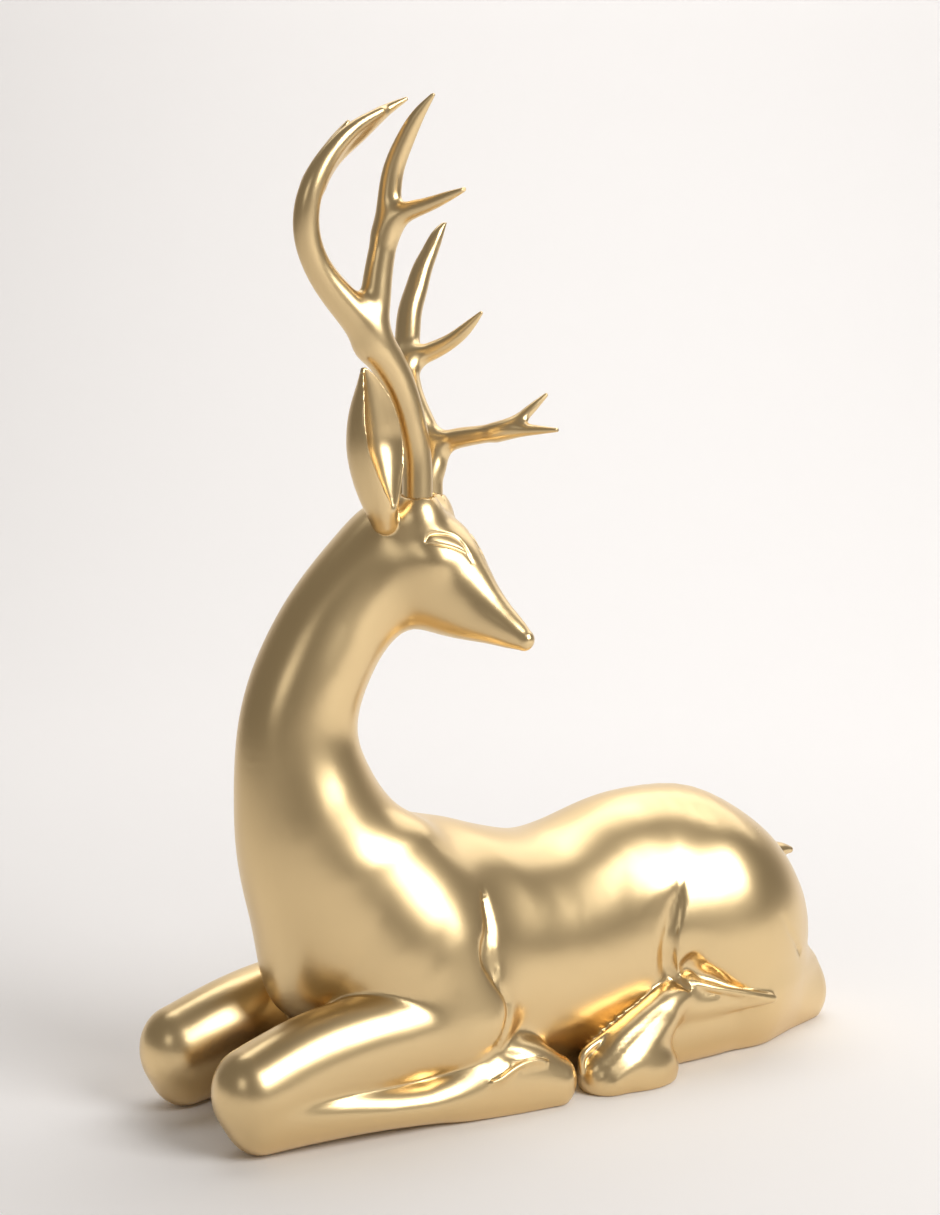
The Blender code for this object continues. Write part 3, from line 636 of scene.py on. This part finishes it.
def with_eyes(field):
    """The head with the lids' lines drawn on both sides."""
    lines = []
    for rows in (UPPER_LID, LOWER_LID):
        for near in (np.array(rows), mirror_in_head(rows)):
            near[:, :3] = onto(field, near[:, :3], 12)
            lines.append(limb([tuple(row) for row in near]))

    def drawn(p):
        f = field(p)
        for line in lines:
            f = carve(f, line(p), LID_FILLET)
        return f

    return drawn


def floored(field, floor, fillet=1.5):
    """The field cut off flat below a height, with its edge eased."""
    return lambda p: -weld(-field(p), p[:, 2] - floor, fillet)


def socketed(field):
    """The crown with its two antler sockets."""
    radius = (ANTLER_ROOT_RADIUS + SOCKET_CLEARANCE) / SHARE
    floor = CROWN_Z - SOCKET_DEPTH / SHARE

    def carved(p):
        f = field(p)
        for root in (RIGHT_ROOT, LEFT_ROOT):
            away = np.hypot(p[:, 0] - root[0], p[:, 1] - root[1])
            hole = np.maximum(away - radius, floor - p[:, 2])
            f = -weld(-f, np.maximum(hole, p[:, 2] - CROWN_Z - 8), 0.5)
        return f

    return carved


def linear(code):
    """An sRGB hex colour as the linear values that shaders take."""
    shares = [int(code[i:i + 2], 16) / 255 for i in (1, 3, 5)]
    return [c / 12.92 if c <= 0.04045 else ((c + 0.055) / 1.055) ** 2.4 for c in shares] + [1.0]


def add(tree, kind, settings=None, **inputs):
    """A node with its settings; an input is a value or another node's output."""
    node = tree.nodes.new(kind)
    for name, value in (settings or {}).items():
        setattr(node, name, value)
    for name, value in inputs.items():
        socket = node.inputs[name.replace("_", " ")]
        if isinstance(value, bpy.types.NodeSocket):
            tree.links.new(value, socket)
        else:
            socket.default_value = value
    return node


def lacquered_gold():
    """Satin metallic lacquer over a sanded cast body: warm pale gold with soft highlights."""
    material = bpy.data.materials.new("satin_gold_lacquer")
    material.use_nodes = True
    tree = material.node_tree
    shader = tree.nodes["Principled BSDF"]
    shader.inputs["Base Color"].default_value = linear("#E8CD9C")
    shader.inputs["Metallic"].default_value = 1.0
    place = add(tree, "ShaderNodeTexCoord").outputs["Object"]
    # The spray's thickness drifts over some 40 mm, which makes the sheen a little uneven.
    drift = add(tree, "ShaderNodeTexNoise", Vector=place, Scale=25.0, Detail=2.0)
    sheen = add(tree, "ShaderNodeMapRange", Value=drift.outputs["Fac"])
    sheen.inputs["To Min"].default_value = 0.25
    sheen.inputs["To Max"].default_value = 0.33
    tree.links.new(sheen.outputs["Result"], shader.inputs["Roughness"])
    # Flow marks of the lacquer, about 9 mm apart and some hundredths of a millimetre high.
    flow = add(tree, "ShaderNodeTexNoise", Vector=place, Scale=110.0, Detail=1.0)
    relief = add(tree, "ShaderNodeBump", Height=flow.outputs["Fac"], Strength=0.25, Distance=0.0002)
    tree.links.new(relief.outputs["Normal"], shader.inputs["Normal"])
    return material


def matt_paper():
    """The pale, even paper of the studio's sweep."""
    material = bpy.data.materials.new("pale_paper")
    material.use_nodes = True
    shader = material.node_tree.nodes["Principled BSDF"]
    shader.inputs["Base Color"].default_value = linear("#F8F6F5")
    shader.inputs["Roughness"].default_value = 0.9
    shader.inputs["Specular IOR Level"].default_value = 0.1
    return material


# The photograph looks along this level direction, 34 degrees round from the figure's side.
VIEW_AHEAD = (0.559193, 0.829038)
CAMERA_AIM = (-0.0338, -0.014)
CAMERA_HEIGHT = 0.28
CAMERA_DISTANCE = 0.80
CAMERA_TILT = np.radians(6)
LENS_MM = 60.0
SENSOR_HEIGHT_MM = 36.0

# The sweep runs from behind the camera to its bend, and then up the wall.
SWEEP_HALF_WIDTH = 3.5
SWEEP_NEAR_END = -3.0
SWEEP_BEND_START = 0.9
SWEEP_BEND_RADIUS = 0.7
SWEEP_TOP = 3.5


def studio():
    """A pale paper sweep: floor and back wall in one sheet, with a wide bend between them."""
    away = np.array(VIEW_AHEAD)
    aside = np.array((away[1], -away[0]))
    profile = [(SWEEP_NEAR_END, 0.0), (0.0, 0.0)]
    for turn in np.linspace(0, np.pi / 2, 13):
        depth = SWEEP_BEND_START + SWEEP_BEND_RADIUS * np.sin(turn)
        profile.append((depth, SWEEP_BEND_RADIUS * (1 - np.cos(turn))))
    profile.append((SWEEP_BEND_START + SWEEP_BEND_RADIUS, SWEEP_TOP))
    corners = [(*(away * depth + aside * across), height) for depth, height in profile
               for across in (-SWEEP_HALF_WIDTH, SWEEP_HALF_WIDTH)]
    faces = [(2 * i, 2 * i + 1, 2 * i + 3, 2 * i + 2) for i in range(len(profile) - 1)]
    mesh = bpy.data.meshes.new("paper_sweep")
    mesh.from_pydata(corners, [], faces)
    mesh.shade_smooth()
    mesh.materials.append(matt_paper())
    sweep = bpy.data.objects.new("paper_sweep", mesh)
    bpy.context.scene.collection.objects.link(sweep)


FIGURE_MIDDLE = (0.0, 0.0, 0.15)
WALL_SPOT = (0.89, 1.33, 0.7)


def soft_light(name, azimuth, elevation, distance, size, power, target=FIGURE_MIDDLE):
    """A square soft box aimed at the target; azimuth 0 stands on its -Y side and 90 on its +X."""
    a, e = np.radians((azimuth, elevation))
    way = Vector((np.sin(a) * np.cos(e), -np.cos(a) * np.cos(e), np.sin(e)))
    box = bpy.data.lights.new(name, "AREA")
    box.size = size
    box.energy = power
    lamp = bpy.data.objects.new(name, box)
    facing = way.to_track_quat("Z", "Y")
    lamp.matrix_world = Matrix.LocRotScale(Vector(target) + way * distance, facing, None)
    bpy.context.scene.collection.objects.link(lamp)


def lights():
    """A key box on the right, a broad box behind it, a weak fill and a wash on the paper."""
    soft_light("key_box", azimuth=18, elevation=32, distance=1.5, size=0.8, power=14)
    soft_light("side_box", azimuth=112, elevation=44, distance=2.0, size=1.5, power=8)
    soft_light("left_fill", azimuth=-60, elevation=22, distance=2.0, size=0.6, power=1.2)
    soft_light("back_wash", azimuth=-34, elevation=50, distance=1.3, size=1.5, power=13,
               target=WALL_SPOT)
    # The rest of the room is dim, which gives the gold its brown shades.
    world = bpy.data.worlds.new("room")
    world.use_nodes = True
    room = world.node_tree.nodes["Background"]
    room.inputs["Color"].default_value = linear("#C3BCB3")
    room.inputs["Strength"].default_value = 0.42
    scene = bpy.context.scene
    scene.world = world
    scene.view_settings.view_transform = "Standard"


def camera():
    """At the photograph's angle, level with the neck and tilted slightly down."""
    lens = bpy.data.cameras.new("camera")
    lens.sensor_fit = "VERTICAL"
    lens.sensor_height = SENSOR_HEIGHT_MM
    lens.lens = LENS_MM
    lens.clip_start = 0.01
    ahead = Vector((*VIEW_AHEAD, 0.0))
    place = Vector((*CAMERA_AIM, CAMERA_HEIGHT)) - ahead * CAMERA_DISTANCE
    look = ahead * np.cos(CAMERA_TILT) - Vector((0, 0, np.sin(CAMERA_TILT)))
    seat = bpy.data.objects.new("camera", lens)
    seat.matrix_world = Matrix.LocRotScale(place, (-look).to_track_quat("Z", "Y"), None)
    bpy.context.scene.collection.objects.link(seat)
    bpy.context.scene.camera = seat


# Mesh fineness, in shares: the grid's cells, then the turns between two neighbouring points past
# which the skin is split again, as cosines, and the two finer zones around each eye.
BODY_CELL, ANTLER_CELL = ((1.95, 1.0))
SHARP_TURNS = ((0.90, 0.93))
EYE_ZONE_RADII = ((14, 12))
NEAR_EYE = (-65.5, -37, 224.5)


def cast_pieces():
    """The figure and its antlers; each grid's corners only have to lie outside the piece."""
    figure = with_eyes(floored(socketed(figure_form()), 0.0))
    eyes = (NEAR_EYE, mirror_in_head(NEAR_EYE))
    zones = [ball(place, (radius,) * 3) for radius in EYE_ZONE_RADII for place in eyes]
    skin("reindeer", "deer_figure", figure, (-176, -72, -4), (162, 72, 300), BODY_CELL,
         zones, SHARP_TURNS)
    floor = CROWN_Z - (SOCKET_DEPTH - SOCKET_CLEARANCE) / SHARE
    right = floored(antler_form(RIGHT_ROOT, RIGHT_STEM, RIGHT_TINES), floor, 0.5)
    skin("right_horn", "right_antler", right, (-136, -70, 230), (-50, 0, 404), ANTLER_CELL,
         turns=SHARP_TURNS[:1])
    left = floored(antler_form(LEFT_ROOT, LEFT_STEM, LEFT_TINES), floor, 0.5)
    skin("left_horn", "left_antler", left, (-70, -64, 230), (-8, 44, 366), ANTLER_CELL,
         turns=SHARP_TURNS[:1])


satin_gold = lacquered_gold()
cast_pieces()
studio()
lights()
camera()
